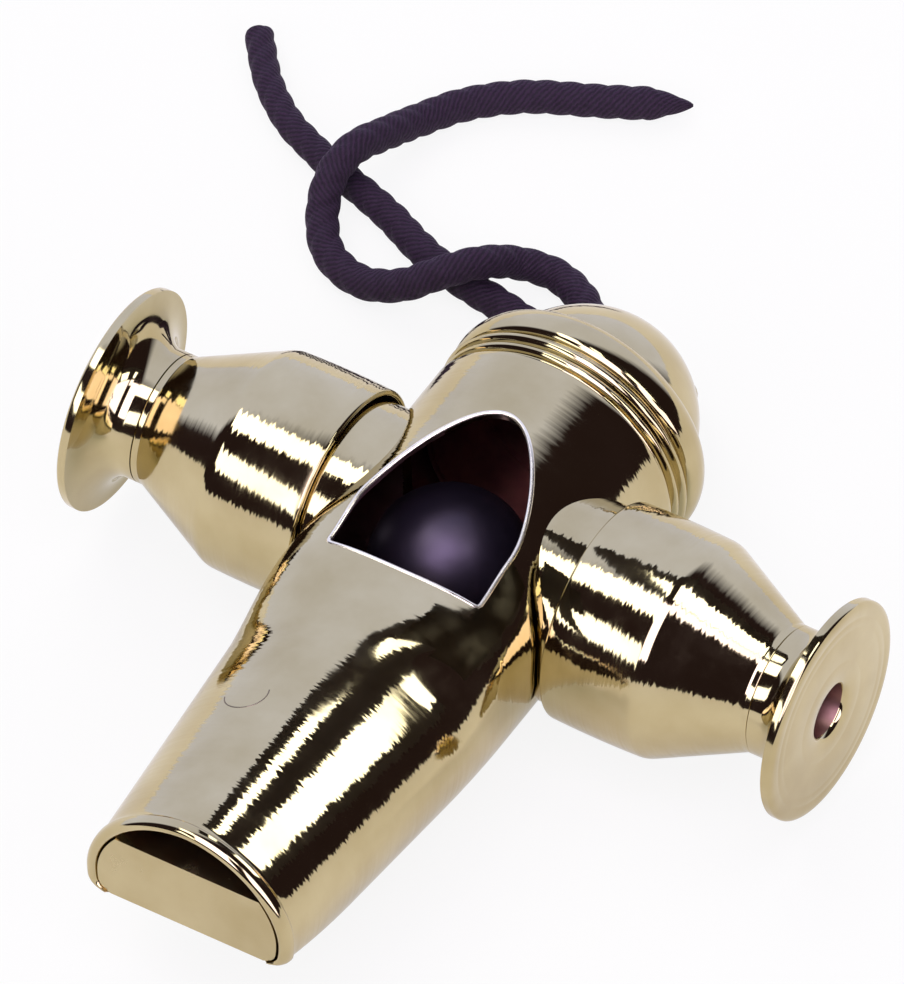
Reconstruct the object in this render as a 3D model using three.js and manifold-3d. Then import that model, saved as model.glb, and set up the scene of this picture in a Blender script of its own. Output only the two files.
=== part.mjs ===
// A gold-plated three-tone samba whistle with a black cord, in millimetres, +Z up.
// The main tube lies along Y with its mouthpiece at -Y, the two side bulbs lie along X,
// and the whistle rests on the plane Z = 0 with the middle of its footprint at the origin.
import * as THREE from 'three';
import { mergeVertices } from 'three/addons/utils/BufferGeometryUtils.js';
import Module from 'manifold-3d';

const wasm = await Module();
wasm.setup();

// Main tube. Places along the whistle are measured from the axis of the side bulbs.
const TUBE_RADIUS = 11;
const TUBE_WALL = 0.8;
const TUBE_REAR = 11.5;

// Mouthpiece: the tube narrows to a D-shaped lip, with a level roof and a slanted flat underside.
const LIP_AHEAD = 43.4;
const LIP_HALF_WIDTH = 8.9;
const LIP_TOP = 8.3;
const LIP_UNDERSIDE = -2.2;
const LIP_BEAD_LENGTH = 2.2;
const LIP_BEAD_RISE = 0.25;
const LIP_ROUNDING = 0.5;
const BEAK_AHEAD = 16;
const HEEL_AHEAD = 17;
const ROOF_HEIGHT = 8.2;
const ROOF_SQUARENESS = 3.3;
const ROOF_BLEND = 7.5;

// Window: a straight front edge and an arched rear edge.
const WINDOW_AHEAD = 10.7;
const WINDOW_HALF_WIDTH = 6.9;
const WINDOW_STRAIGHT = 4.7;
const WINDOW_ARCH = 11.4;

// Fipple block: fills the mouthpiece below the windway.
const BLOCK_FIT = 0.3;
const BLOCK_RECESS = 0.2;
const BLOCK_SETBACK = 0.7;
const WINDWAY_MOUTH = 3.4;
const WINDWAY_EXIT = 1;

// Side arms: a stub on the main tube, a bulb sleeved over it, and a trumpet flange in its neck.
const ARM_FIT = 0.3;
const BULB_RADIUS = 9.2;
const BULB_WALL = 0.6;
const BULB_CYLINDER = 8.3;
const BULB_ROUNDING = 0.8;
const BULB_CONE = 7.6;
const BULB_NECK = 0.6;
const NECK_RADIUS = 5.4;
const STUB_WALL = 0.7;
const STUB_SLEEVED = 5.6;
const FLANGE_PROUD = 0.05;
const FLANGE_RIM = 0.9;
const FLANGE_TRUMPET = 2.6;
const FLANGE_COLLAR = 0.7;
const FLANGE_SPIGOT = 2.2;
const FLANGE_DOMING = 0.65;
const FINGER_HOLE_RADIUS = 2.25;
const FINGER_HOLE_CHAMFER = 0.35;

// End cap: a turned plug with a small bead, a large bead and a domed rear end.
const CAP_FIT = 0.3;
const CAP_SPIGOT = 2.4;
const CAP_WALL = 0.7;
const CAP_DEPTH = 4.5;
const SMALL_BEAD_LENGTH = 1.9;
const SMALL_BEAD_CREST = 1.6;
const SMALL_BEAD_RISE = 0.15;
const SMALL_BEAD_DROP = 0.6;
const GROOVE_LENGTH = 0.6;
const GROOVE_DEPTH = 0.35;
const LARGE_BEAD_LENGTH = 3.5;
const LARGE_BEAD_CREST = 1;
const LARGE_BEAD_RISE = 0.2;
const DOME_RADIUS = 9.15;
const DOME_INSET = 1.4;

// Cord loop: a small wire loop that points back and down from a flat spot on the dome.
const LOOP_HOLE_RADIUS = 1.9;
const LOOP_WIRE = 1.5;
const LOOP_FOOT_RADIUS = 1.8;
const LOOP_FOOT = 0.4;
const LOOP_SEAT = 0.3;
const LOOP_SEAT_MARGIN = 1;
const LOOP_TILT = THREE.MathUtils.degToRad(30);

// Pea: a loose ball in the sound chamber, leaning to the left of the tube's floor.
const PEA_RADIUS = 6.6;
const PEA_FIT = 0.3;
const PEA_LEAN = THREE.MathUtils.degToRad(40);

// Cord: one length through the loop, with two free ends on the table. Its points are given
// across the whistle, back from the axis of the side bulbs, and up from the table.
const CORD_DIAMETER = 2.7;
const CORD_FIT = 0.3;
const CORD_SIDES = 8;
const CORD_WRAP = THREE.MathUtils.degToRad(150);
const CORD_WRAP_FROM = THREE.MathUtils.degToRad(250);
const CORD_WRAP_TO = THREE.MathUtils.degToRad(60);
const SHORT_END_POINTS = [
  [-1.95, 27.2, 2.3], [-3.7, 27.65, 1.55], [-6, 28.3, 1.4], [-9, 29.3, 1.4],
  [-12.5, 30.4, 1.4], [-16, 31.2, 1.4], [-19.5, 31.8, 1.4], [-22.9, 32.55, 1.4],
  [-25.6, 33.6, 1.4], [-28.2, 34.8, 1.4], [-31.3, 35.9, 1.4], [-34.5, 36.9, 1.4],
  [-37.4, 38.05, 1.4], [-40.2, 39.35, 1.4], [-43.7, 42.1, 1.4], [-47, 46.1, 1.4],
];
const LONG_END_POINTS = [
  [-3.7, 30.1, 5.45], [-5.15, 30.4, 4.2], [-7.1, 31.6, 2.55], [-9.2, 33.3, 1.65],
  [-11.3, 35.1, 1.45], [-14.1, 36.1, 1.5], [-16.9, 34.9, 2.5], [-18.8, 31.8, 4.3],
  [-20.9, 29.5, 4.1], [-23.4, 28.1, 2.7], [-26.8, 27.7, 1.6], [-30.5, 29.1, 1.45],
  [-32.7, 31.8, 2.2], [-33.4, 34.4, 3.8], [-33.1, 37, 4.5], [-32.3, 40.6, 3.4],
  [-31.5, 44.15, 2], [-29.6, 47.85, 1.4], [-26.1, 50.95, 1.4], [-20.5, 53.75, 1.4],
  [-17.3, 55.4, 1.4], [-14.3, 56.95, 1.4],
];

// Facets
const ROUND_SIDES = 40;
const SECTION_POINTS = 44;
const CUT_MARGIN = 2;

// Sizes that follow from the ones above
const LIP_Y = -LIP_AHEAD;
const WINDOW_Y = -WINDOW_AHEAD;
const BORE_RADIUS = TUBE_RADIUS - TUBE_WALL;
const STUB_RADIUS = BULB_RADIUS - BULB_WALL - ARM_FIT;
const STUB_BORE = STUB_RADIUS - STUB_WALL;
const BULB_START = TUBE_RADIUS + ARM_FIT;
const BULB_SHOULDER = BULB_START + BULB_CYLINDER;
const NECK_START = BULB_SHOULDER + BULB_CONE;
const NECK_END = NECK_START + BULB_NECK;
const FLANGE_RADIUS = BULB_RADIUS + FLANGE_PROUD;
const FLANGE_START = NECK_END + ARM_FIT;
const FLANGE_FACE = FLANGE_START + FLANGE_COLLAR + FLANGE_TRUMPET + FLANGE_RIM;
const CAP_START = TUBE_REAR + CAP_FIT;
const GROOVE_START = CAP_START + SMALL_BEAD_LENGTH;
const LARGE_BEAD_START = GROOVE_START + GROOVE_LENGTH;
const CAP_REAR = LARGE_BEAD_START + LARGE_BEAD_LENGTH;
const DOME_Y = CAP_REAR - DOME_INSET;
const LOOP_RADIUS = LOOP_HOLE_RADIUS + LOOP_WIRE / 2;
const LOOP_SEAT_REACH = DOME_RADIUS - LOOP_SEAT;
const LOOP_REACH = LOOP_SEAT_REACH + LOOP_FOOT + LOOP_RADIUS + LOOP_WIRE / 2;
const LOOP_REAR = DOME_Y + (LOOP_REACH + LOOP_RADIUS) * Math.cos(LOOP_TILT) + LOOP_WIRE / 2;
const AXIS_HEIGHT = TUBE_RADIUS + LARGE_BEAD_RISE;
const CROSS_Y = (LIP_AHEAD - LOOP_REAR) / 2;

const gold = new THREE.MeshStandardMaterial({ color: 0xc9b06a, roughness: 0.12, metalness: 1 });
const blackPlastic = new THREE.MeshStandardMaterial({ color: 0x2a2430, roughness: 0.45, metalness: 0 });
const blackCord = new THREE.MeshStandardMaterial({ color: 0x382a40, roughness: 0.85, metalness: 0 });

// Leaves only merged positions, drops flat triangles and turns the faces outwards.
function closed(geometry) {
  const bare = geometry.clone();
  for (const name of Object.keys(bare.attributes)) {
    if (name !== 'position') bare.deleteAttribute(name);
  }
  const merged = mergeVertices(bare, 1e-4);
  const position = merged.attributes.position;
  const index = merged.index.array;
  const [a, b, c] = [new THREE.Vector3(), new THREE.Vector3(), new THREE.Vector3()];
  const kept = [];
  let volume = 0;
  for (let i = 0; i < index.length; i += 3) {
    const [p, q, r] = [index[i], index[i + 1], index[i + 2]];
    if (p === q || q === r || r === p) continue;
    a.fromBufferAttribute(position, p);
    b.fromBufferAttribute(position, q);
    c.fromBufferAttribute(position, r);
    volume += a.dot(b.cross(c));
    kept.push(p, q, r);
  }
  if (volume < 0) kept.reverse();
  merged.setIndex(kept);
  return merged;
}

function solid(geometry) {
  const shape = closed(geometry);
  return new wasm.Manifold(new wasm.Mesh({
    numProp: 3,
    vertProperties: new Float32Array(shape.attributes.position.array),
    triVerts: new Uint32Array(shape.index.array),
  }));
}

function geometryOf(body) {
  const mesh = body.getMesh();
  const geometry = new THREE.BufferGeometry();
  geometry.setAttribute('position', new THREE.BufferAttribute(new Float32Array(mesh.vertProperties), 3));
  geometry.setIndex(new THREE.BufferAttribute(new Uint32Array(mesh.triVerts), 1));
  return geometry;
}

// A closed skin through rings of points, with a fan over each end.
function loft(rings) {
  const count = rings[0].length;
  const points = rings.flat();
  const index = [];
  for (let ring = 0; ring + 1 < rings.length; ring += 1) {
    for (let i = 0; i < count; i += 1) {
      const next = (i + 1) % count;
      const [near, far] = [ring * count, (ring + 1) * count];
      index.push(near + i, near + next, far + next, near + i, far + next, far + i);
    }
  }
  for (const [ring, flip] of [[0, true], [rings.length - 1, false]]) {
    const middle = points.length;
    points.push(rings[ring].reduce((sum, p) => sum.add(p), new THREE.Vector3()).divideScalar(count));
    for (let i = 0; i < count; i += 1) {
      const [one, two] = [ring * count + i, ring * count + (i + 1) % count];
      index.push(middle, flip ? two : one, flip ? one : two);
    }
  }
  const geometry = new THREE.BufferGeometry().setFromPoints(points);
  geometry.setIndex(index);
  return geometry;
}

// A prism along X whose side view is a list of [y, z] corners.
function sidePrism(corners, halfWidth) {
  const shape = new THREE.Shape(corners.map(([y, z]) => new THREE.Vector2(y, z)));
  const geometry = new THREE.ExtrudeGeometry(shape, { depth: 2 * halfWidth, bevelEnabled: false });
  geometry.translate(0, 0, -halfWidth);
  geometry.rotateY(Math.PI / 2);
  geometry.rotateX(Math.PI / 2);
  return geometry;
}

// A turned ring or disc about Y from a closed list of [along, radius] corners.
function turned(profile) {
  const points = [...profile, profile[0]].map(([along, radius]) => new THREE.Vector2(radius, along));
  return closed(new THREE.LatheGeometry(points, ROUND_SIDES));
}

// A quarter of an oval that swells from the foot of a bead to its crest.
function swell(footY, footRadius, crestY, crestRadius) {
  return [0, 1, 2, 3, 4, 5].map((step) => step / 5 * Math.PI / 2).map((angle) => [
    mix(footY, crestY, 1 - Math.cos(angle)),
    mix(footRadius, crestRadius, Math.sin(angle)),
  ]);
}

const mix = THREE.MathUtils.lerp;
const smooth = THREE.MathUtils.smoothstep;

// How far along the mouthpiece a place is: 0 at its start, 1 at the lip.
const towardsLip = (y, start) => THREE.MathUtils.clamp((start - y) / (start - LIP_Y), 0, 1);

// The tube's outline at one place, grown or shrunk by an offset: a rounded top over a round bottom.
function tubeSection(y, offset) {
  const flattening = 1 - smooth(y, WINDOW_Y, WINDOW_Y + ROOF_BLEND);
  const alongRoof = towardsLip(y, WINDOW_Y);
  const across = mix(TUBE_RADIUS, LIP_HALF_WIDTH, towardsLip(y, -BEAK_AHEAD)) + offset;
  const roof = mix(mix(TUBE_RADIUS, ROOF_HEIGHT, flattening), LIP_TOP, alongRoof) + offset;
  const squareness = mix(mix(2, ROOF_SQUARENESS, flattening), 2, alongRoof);
  return Array.from({ length: SECTION_POINTS }, (_, i) => {
    const angle = (2 * Math.PI * i) / SECTION_POINTS;
    const [c, s] = [Math.cos(angle), Math.sin(angle)];
    if (s <= 0) return new THREE.Vector3(across * c, y, across * s);
    const bow = 2 / squareness;
    return new THREE.Vector3(across * Math.sign(c) * Math.abs(c) ** bow, y, roof * s ** bow);
  });
}

const BODY_PLACES = [0.68, 0.36, 0].map((share) => WINDOW_Y + share * ROOF_BLEND)
  .concat([-BEAK_AHEAD], [0.25, 0.5, 0.75].map((share) => mix(-BEAK_AHEAD, LIP_Y, share)));

// The outside of the tube, with the rounded bead along its lip.
function tubeOutside(offset) {
  const beadStart = LIP_Y + LIP_BEAD_LENGTH;
  const lip = [
    [beadStart, 0],
    [LIP_Y + 0.75 * LIP_BEAD_LENGTH, LIP_BEAD_RISE],
    [LIP_Y + LIP_ROUNDING, LIP_BEAD_RISE],
    [LIP_Y + 0.3 * LIP_ROUNDING, -0.3 * LIP_ROUNDING],
    [LIP_Y, -LIP_ROUNDING],
  ];
  const places = [TUBE_REAR, WINDOW_Y + ROOF_BLEND, ...BODY_PLACES].map((y) => [y, 0]);
  return loft([...places, ...lip].map(([y, grow]) => tubeSection(y, grow + offset)));
}

// The inside of the tube, shrunk by a wall or a fit, running past both ends.
function tubeInside(shrink) {
  const places = [TUBE_REAR + CUT_MARGIN, WINDOW_Y + ROOF_BLEND, ...BODY_PLACES, LIP_Y];
  const rings = places.map((y) => tubeSection(y, -shrink));
  rings.push(tubeSection(LIP_Y, -shrink).map((p) => p.setY(LIP_Y - CUT_MARGIN)));
  return loft(rings);
}

// Height of the mouthpiece's flat underside at one place.
const undersideAt = (y) => mix(-TUBE_RADIUS, LIP_UNDERSIDE, (-HEEL_AHEAD - y) / (LIP_AHEAD - HEEL_AHEAD));

function underside() {
  const [front, rear] = [LIP_Y - CUT_MARGIN, -HEEL_AHEAD + CUT_MARGIN];
  const below = undersideAt(rear) - TUBE_RADIUS;
  return sidePrism([
    [front, undersideAt(front)], [front, below], [rear, below], [rear, undersideAt(rear)],
  ], TUBE_RADIUS + CUT_MARGIN);
}

function windowCut() {
  const w = WINDOW_HALF_WIDTH;
  const straight = WINDOW_Y + WINDOW_STRAIGHT;
  const top = straight + WINDOW_ARCH;
  const shape = new THREE.Shape();
  shape.moveTo(-w, WINDOW_Y);
  shape.lineTo(w, WINDOW_Y);
  shape.lineTo(w, straight);
  shape.bezierCurveTo(w, straight + 0.3 * WINDOW_ARCH, 0.5 * w, top, 0, top);
  shape.bezierCurveTo(-0.5 * w, top, -w, straight + 0.3 * WINDOW_ARCH, -w, straight);
  const depth = TUBE_RADIUS + CUT_MARGIN;
  return new THREE.ExtrudeGeometry(shape, { depth, bevelEnabled: false, curveSegments: 8 });
}

function mainTube() {
  const sideHoles = new THREE.CylinderGeometry(STUB_BORE, STUB_BORE, 4 * TUBE_RADIUS, ROUND_SIDES);
  sideHoles.rotateZ(Math.PI / 2);
  const shell = solid(tubeOutside(0)).subtract(solid(tubeInside(TUBE_WALL)));
  return geometryOf(shell
    .subtract(solid(underside()))
    .subtract(solid(windowCut()))
    .subtract(solid(sideHoles)));
}

function fippleBlock() {
  const [front, rear] = [LIP_Y + BLOCK_RECESS, WINDOW_Y - BLOCK_SETBACK];
  const below = undersideAt(rear);
  const wedge = sidePrism([
    [front, undersideAt(front)],
    [rear, below],
    [rear, ROOF_HEIGHT - TUBE_WALL - WINDWAY_EXIT],
    [front, LIP_TOP - TUBE_WALL - WINDWAY_MOUTH],
  ], TUBE_RADIUS + CUT_MARGIN);
  return geometryOf(solid(wedge).intersect(solid(tubeInside(TUBE_WALL + BLOCK_FIT))));
}

function stub() {
  const end = BULB_START + STUB_SLEEVED;
  const tube = turned([[0, STUB_BORE], [0, STUB_RADIUS], [end, STUB_RADIUS], [end, STUB_BORE]]);
  tube.rotateZ(-Math.PI / 2);
  return geometryOf(solid(tube).subtract(solid(tubeOutside(ARM_FIT))));
}

function bulb() {
  const inner = BULB_RADIUS - BULB_WALL;
  const neckInner = NECK_RADIUS - BULB_WALL;
  const slope = (BULB_RADIUS - NECK_RADIUS) / BULB_CONE;
  return turned([
    [BULB_START, inner],
    [BULB_START, BULB_RADIUS],
    [BULB_SHOULDER - BULB_ROUNDING, BULB_RADIUS],
    [BULB_SHOULDER + 0.2 * BULB_ROUNDING, BULB_RADIUS - 0.35 * slope * BULB_ROUNDING],
    [BULB_SHOULDER + BULB_ROUNDING, BULB_RADIUS - slope * BULB_ROUNDING],
    [NECK_START, NECK_RADIUS],
    [NECK_END, NECK_RADIUS],
    [NECK_END, neckInner],
    [NECK_START, neckInner],
    [BULB_SHOULDER, inner],
  ]);
}

function flange() {
  const spigot = NECK_RADIUS - BULB_WALL - ARM_FIT;
  const flareStart = FLANGE_START + FLANGE_COLLAR;
  const flare = [0, 0.35, 0.65, 0.88, 1].map((share) => [
    flareStart + FLANGE_TRUMPET * Math.sin(share * Math.PI / 2),
    mix(NECK_RADIUS, FLANGE_RADIUS, 1 - Math.cos(share * Math.PI / 2)),
  ]);
  return turned([
    [FLANGE_START - FLANGE_SPIGOT, FINGER_HOLE_RADIUS],
    [FLANGE_START - FLANGE_SPIGOT, spigot],
    [FLANGE_START, spigot],
    [FLANGE_START, NECK_RADIUS],
    ...flare,
    [FLANGE_FACE - 0.35 * FLANGE_RIM, FLANGE_RADIUS],
    [FLANGE_FACE, FLANGE_RADIUS - FLANGE_DOMING],
    [FLANGE_FACE, FINGER_HOLE_RADIUS + FINGER_HOLE_CHAMFER],
    [FLANGE_FACE - FINGER_HOLE_CHAMFER, FINGER_HOLE_RADIUS],
  ]);
}

// Turns a shape that stands along +Y into the direction in which the loop leaves the dome.
function towardsLoop(geometry) {
  geometry.rotateX(-LOOP_TILT);
  geometry.translate(0, DOME_Y, 0);
  return geometry;
}

function endCap() {
  const spigot = BORE_RADIUS - CAP_FIT;
  const front = TUBE_REAR - CAP_SPIGOT;
  const floor = TUBE_REAR + CAP_DEPTH;
  const groove = TUBE_RADIUS - GROOVE_DEPTH;
  const smallCrest = CAP_START + SMALL_BEAD_CREST;
  const largeCrest = LARGE_BEAD_START + LARGE_BEAD_CREST;
  const dome = [10, 24, 38, 52, 66, 79].map((degrees) => THREE.MathUtils.degToRad(degrees));
  const body = turned([
    [front, spigot],
    [CAP_START, spigot],
    ...swell(CAP_START, TUBE_RADIUS - SMALL_BEAD_DROP, smallCrest, TUBE_RADIUS + SMALL_BEAD_RISE),
    [GROOVE_START, TUBE_RADIUS],
    [GROOVE_START + 0.2 * GROOVE_LENGTH, groove],
    ...swell(LARGE_BEAD_START, groove, largeCrest, TUBE_RADIUS + LARGE_BEAD_RISE),
    ...swell(CAP_REAR, DOME_RADIUS, largeCrest, TUBE_RADIUS + LARGE_BEAD_RISE).reverse().slice(1),
    ...dome.map((a) => [DOME_Y + DOME_RADIUS * Math.sin(a), DOME_RADIUS * Math.cos(a)]),
    [DOME_Y + DOME_RADIUS, 0],
    [floor, 0],
    [floor, spigot - CAP_WALL],
    [front, spigot - CAP_WALL],
  ]);
  const seatRadius = LOOP_FOOT_RADIUS + LOOP_SEAT_MARGIN;
  const seat = new THREE.CylinderGeometry(seatRadius, seatRadius, CUT_MARGIN, 24);
  seat.translate(0, LOOP_SEAT_REACH + CUT_MARGIN / 2, 0);
  return geometryOf(solid(body).subtract(solid(towardsLoop(seat))));
}

function cordLoop() {
  const ring = new THREE.TorusGeometry(LOOP_RADIUS, LOOP_WIRE / 2, 10, 24);
  ring.translate(0, LOOP_REACH, 0);
  const length = LOOP_FOOT + LOOP_WIRE / 2;
  const foot = new THREE.CylinderGeometry(LOOP_WIRE / 2, LOOP_FOOT_RADIUS, length, 20);
  foot.translate(0, LOOP_SEAT_REACH + length / 2, 0);
  return geometryOf(solid(towardsLoop(ring)).add(solid(towardsLoop(foot))));
}

function pea() {
  return closed(new THREE.IcosahedronGeometry(PEA_RADIUS, 3));
}

function cordTube(points, steps) {
  const radius = CORD_DIAMETER / 2;
  const section = new THREE.Shape(Array.from({ length: CORD_SIDES }, (_, i) => {
    const angle = (2 * Math.PI * (i + 0.5)) / CORD_SIDES;
    return new THREE.Vector2(radius * Math.cos(angle), radius * Math.sin(angle));
  }));
  const extrudePath = new THREE.CatmullRomCurve3(points, false, 'centripetal');
  return closed(new THREE.ExtrudeGeometry(section, { steps, extrudePath }));
}

const freeEnd = (points, steps) => cordTube(points.map((p) => new THREE.Vector3(...p)), steps);

// The bend of the cord round the loop's wire, from below it to above it through the loop's hole.
function cordBend() {
  const out = new THREE.Vector3(Math.cos(CORD_WRAP), Math.sin(CORD_WRAP), 0);
  const up = new THREE.Vector3(0, 0, 1);
  const wire = new THREE.Vector3(0, LOOP_REACH, 0).addScaledVector(out, LOOP_RADIUS);
  const bend = LOOP_WIRE / 2 + CORD_FIT + CORD_DIAMETER / 2;
  const steps = 10;
  return towardsLoop(cordTube(Array.from({ length: steps + 1 }, (_, i) => {
    const angle = mix(CORD_WRAP_FROM, CORD_WRAP_TO, i / steps);
    const point = wire.clone().addScaledVector(out, bend * Math.cos(angle));
    return point.addScaledVector(up, bend * Math.sin(angle));
  }), steps));
}

function piece(name, geometry, material) {
  const mesh = new THREE.Mesh(geometry, material);
  mesh.name = name;
  return mesh;
}

// One side arm, built along +X; the left one is turned half round about Z.
function arm(side) {
  const group = new THREE.Group();
  const along = new THREE.Group();
  along.rotation.z = -Math.PI / 2;
  along.add(piece(`bulb_${side}`, bulb(), gold), piece(`flange_${side}`, flange(), gold));
  group.add(along);
  return group;
}

const whistle = new THREE.Group();
whistle.position.set(0, CROSS_Y, AXIS_HEIGHT);
whistle.add(
  piece('main_tube', mainTube(), gold),
  piece('fipple_block', fippleBlock(), gold),
  piece('end_cap', endCap(), gold),
  piece('cord_loop', cordLoop(), gold),
  piece('cord_bend', cordBend(), blackCord),
);

const rightStub = stub();
const leftStub = rightStub.clone().scale(-1, 1, 1);
whistle.add(piece('stub_right', rightStub, gold), piece('stub_left', closed(leftStub), gold));

const rightArm = arm('right');
const leftArm = arm('left');
leftArm.rotation.z = Math.PI;
whistle.add(rightArm, leftArm);

const ball = piece('pea', pea(), blackPlastic);
const peaPath = BORE_RADIUS - PEA_FIT - PEA_RADIUS;
ball.position.set(-peaPath * Math.sin(PEA_LEAN), 0, -peaPath * Math.cos(PEA_LEAN));
whistle.add(ball);

const cordEnds = new THREE.Group();
cordEnds.position.set(0, CROSS_Y, 0);
cordEnds.add(
  piece('cord_short_end', freeEnd(SHORT_END_POINTS, 20), blackCord),
  piece('cord_long_end', freeEnd(LONG_END_POINTS, 32), blackCord),
);

const part = new THREE.Group();
part.add(whistle, cordEnds);

export default part;
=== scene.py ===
"""A gold samba whistle with a black twisted cord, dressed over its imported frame."""
import math

import bmesh
import bpy
from mathutils import Matrix, Vector


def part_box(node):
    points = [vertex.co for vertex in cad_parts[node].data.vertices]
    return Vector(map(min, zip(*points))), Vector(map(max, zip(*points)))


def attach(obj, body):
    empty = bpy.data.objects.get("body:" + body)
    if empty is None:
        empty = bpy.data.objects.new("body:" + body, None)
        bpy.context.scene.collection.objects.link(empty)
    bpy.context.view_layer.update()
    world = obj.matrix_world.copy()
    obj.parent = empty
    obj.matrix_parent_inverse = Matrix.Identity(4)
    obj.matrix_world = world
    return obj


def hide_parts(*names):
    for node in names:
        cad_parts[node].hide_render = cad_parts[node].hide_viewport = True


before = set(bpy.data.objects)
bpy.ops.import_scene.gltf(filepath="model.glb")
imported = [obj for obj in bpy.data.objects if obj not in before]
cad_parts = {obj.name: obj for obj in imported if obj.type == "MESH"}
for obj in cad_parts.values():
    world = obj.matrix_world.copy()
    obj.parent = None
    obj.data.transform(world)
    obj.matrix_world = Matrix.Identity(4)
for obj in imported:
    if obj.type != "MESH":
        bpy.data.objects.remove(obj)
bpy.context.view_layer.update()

MM = 0.001

# Sizes in millimetres, most of them the part's own: the beak, the lip bead and the end cap are finer here.
# Places along the whistle run from the axis of the side bulbs, mouthpiece at -Y. Bores and holes are radii.
TUBE_RADIUS = 11.0
TUBE_WALL = 0.8
TUBE_REAR = 11.5
TUBE_REAR_ROUNDING = 0.12
TUBE_REAR_STRAIGHT = 0.5
TUBE_SIDES = 192
AXIS_HEIGHT = 11.2

# Mouthpiece
LIP_Y = -43.4
LIP_HALF_WIDTH = 8.9
LIP_TOP = 8.3
LIP_UNDERSIDE = -2.2
LIP_BEAD_LENGTH = 1.4
LIP_BEAD_RISE = 0.25
LIP_BEAD_SWELL_SHARE = 0.55
LIP_ROUNDING = 0.7
LIP_INSIDE_START = 1.2
LIP_POLISHED = 1.1
BEAK_Y = -16.0
BEAK_EASE = 4
BEAK_SQUARENESS = 1.85
BEAK_PEAK_SHARE = 0.28
HEEL_Y = -17.0
UNDERSIDE_CORNER = 1.1
UNDERSIDE_CORNER_RUN = 12
ROOF_HEIGHT = 8.2
ROOF_SQUARENESS = 3.4
ROOF_BLEND = 7.5
ROOF_EASE = 1.5

# Window, and the scratch on the beak's roof
WINDOW_Y = -10.7
WINDOW_HALF_WIDTH = 6.9
WINDOW_STRAIGHT = 4.7
WINDOW_ARCH = 11.4
WINDOW_ARCH_SIDE_SHARE = 0.3
WINDOW_ARCH_TOP_SHARE = 0.5
WINDOW_CORNER = 0.35
WINDOW_CORNER_SHARE = 0.3
WINDOW_RIM_RADIUS = 0.21
WINDOW_RIM_STEP = 0.25
MARK_PLACE = (-4.1, -27.3)
MARK_RADIUS = 1.75
MARK_ANGLES = (200, 385)
MARK_LINE_RADIUS = 0.07
BEAD_SINK = 0.55

# Fipple block
BLOCK_FIT = 0.05
BLOCK_RECESS = 0.2
BLOCK_SETBACK = 0.7
BLOCK_ROOM_MARGIN = 2
WINDWAY_MOUTH = 3.4
WINDWAY_EXIT = 1

# Side arms: turning lines are pairs of radius and depth, the finger hole's edge of depth and widening.
STUB_RADIUS = 8.3
STUB_BORE = 7.6
STUB_START = 6
STUB_END = 16.9
STUB_EDGE = 0.15
STUB_FIT = -0.1
SADDLE_FRONT = -14
BULB_RADIUS = 9.2
BULB_WALL = 0.6
BULB_CROWN = 0.09
BULB_CROWN_SHARES = (0.1, 0.2, 0.3, 0.4, 0.5, 0.6, 0.7, 0.8, 0.88)
BULB_START = 11.3
BULB_OUTER_EDGE = 0.25
BULB_INNER_EDGE = 0.2
BULB_SHOULDER = 19.6
SHOULDER_FILLET = 2.2
SHOULDER_INNER_FILLET = 4
NECK_START = 27.2
NECK_END = 27.8
NECK_RADIUS = 5.4
NECK_FILLET = 0.6
NECK_EDGE = 0.1
FLANGE_START = 28.1
FLANGE_FACE = 32.3
FLANGE_RADIUS = 9.25
FLANGE_COLLAR = 0.7
FLANGE_TRUMPET = 2.6
FLANGE_RIM = 0.9
FLANGE_RIM_SHARES = (0.3, 0.7)
FLANGE_EDGE = 0.35
FLANGE_DOMING = 0.65
FLANGE_SPIGOT_START = 25.9
FLANGE_SPIGOT_RADIUS = 4.5
FLANGE_NECK_FIT = 0.04
TURNING_LINES = ((8.0, 0.03), (7.2, 0.015), (4.4, 0.015))
TURNING_LINE_HALF_WIDTH = 0.12
FINGER_HOLE = 2.25
FINGER_HOLE_EDGE = ((0, 0.45), (0.12, 0.18), (0.4, 0))

# End cap and cord loop: edges and the foot are pairs of place and radius.
CAP_FRONT = 9.1
CAP_START = 11.8
CAP_FLOOR = 16.0
SPIGOT_RADIUS = 9.9
SPIGOT_BORE = 9.2
SPIGOT_EDGE = [(CAP_FRONT, 9.75), (9.16, 9.86), (9.3, SPIGOT_RADIUS)]
CAP_EDGE = [(CAP_START, 10.3), (CAP_START + 0.06, 10.42), (CAP_START + 0.2, 10.5)]
SMALL_ROLLS = ((12.05, 12.95, 10.5, 10.98), (13.0, 13.95, 10.6, 11.12))
ROLL_FULLNESS = 0.7
LARGE_BEAD_CREST = 15.3
LARGE_BEAD_RADIUS = 11.2
LARGE_BEAD_FRONT = 14.2
LARGE_BEAD_REAR = 17.8
GROOVE_RADIUS = 10.6
DOME_Y = 16.4
DOME_RADIUS = 9.15
DOME_HEIGHT = 9.4
DOME_POWER = 2 / 1.9
DOME_DEGREES = range(12, 90, 2)
LOOP_RADIUS = 2.65
LOOP_WIRE = 1.5
LOOP_REACH = 12.65
LOOP_TILT = math.radians(30)
LOOP_FOOT = ((8.5, 1.9), (8.9, 1.8), (9.1, 1.4), (9.35, 1.05), (9.8, 0.85), (10.1, 0.8))
LOOP_REAR = DOME_Y + (LOOP_REACH + LOOP_RADIUS) * math.cos(LOOP_TILT) + LOOP_WIRE / 2
CROSS_Y = (-LIP_Y - LOOP_REAR) / 2

# Pea: its parting line's height, width as a share of the radius, and direction across and up
PEA_RADIUS = 6.6
PEA_SEAM_RISE = 0.03
PEA_SEAM_WIDTH = 0.018
PEA_SEAM_FACING = (0.6, 0.8)

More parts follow.
